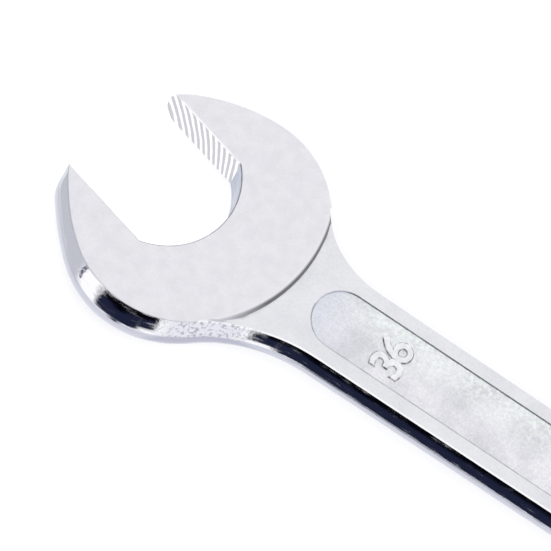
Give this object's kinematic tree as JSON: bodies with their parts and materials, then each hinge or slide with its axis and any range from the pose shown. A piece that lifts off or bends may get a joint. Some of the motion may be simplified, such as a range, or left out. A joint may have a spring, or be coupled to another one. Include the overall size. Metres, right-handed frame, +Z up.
{
  "type": "combination wrench",
  "caption": "Long flat combination wrench with a 15-degree open jaw, a sunk panel along its shank and a reversible ratcheting 12-point ring.",
  "frame": {"origin": "on the surface the wrench lies on, under the middle of its bounding box", "axes": "+X along the shank towards the open jaw, +Z up out of the side with the reversing lever"},
  "size_m": [0.4326, 0.0762, 0.0209],
  "materials": {
    "satin_chrome": "satin chrome plate over chrome-vanadium steel, flats ground and the rest polished",
    "hardened_steel": "hardened and ground steel",
    "blackened_steel": "black oxide steel",
    "spring_steel": "bright spring steel"
  },
  "bodies": {
    "wrench": {"wrench_body": "satin_chrome", "cover_plate": "satin_chrome", "cover_screw_1": "blackened_steel", "cover_screw_2": "blackened_steel", "cover_screw_3": "blackened_steel", "cover_screw_4": "blackened_steel", "pawl_pin": "hardened_steel"},
    "ring_gear": {"ratchet_gear": "satin_chrome"},
    "pawl": {"pawl": "hardened_steel"},
    "lever": {"reversing_lever": "satin_chrome", "lever_clip": "spring_steel", "plunger_spring": "spring_steel"},
    "plunger": {"detent_plunger": "hardened_steel"}
  },
  "joints": [
    {"name": "gear_spin", "type": "hinge", "parent": "wrench", "child": "ring_gear", "pos_m": [-0.18127, 0.00278, 0.009], "axis": [0, 0, 1], "continuous": true},
    {"name": "lever_turn", "type": "hinge", "parent": "wrench", "child": "lever", "pos_m": [-0.13947, 0.00278, 0.009], "axis": [0, 0, 1], "range_deg": [0, 60]},
    {"name": "pawl_rock", "type": "hinge", "parent": "wrench", "child": "pawl", "pos_m": [-0.15007, 0.00278, 0.009], "axis": [0, 0, 1], "range_deg": [-15.4, 0]},
    {"name": "plunger_press", "type": "slide", "parent": "lever", "child": "plunger", "axis": [-0.866, 0.5, 0], "range_m": [-0.0008, 0], "stiffness_N_per_m": 600, "springref_m": 0.0008, "deforming": ["plunger_spring"]}
  ],
  "couplings": [
    {"joint": "pawl_rock", "follows": "lever_turn", "ratio": -0.25667}
  ]
}
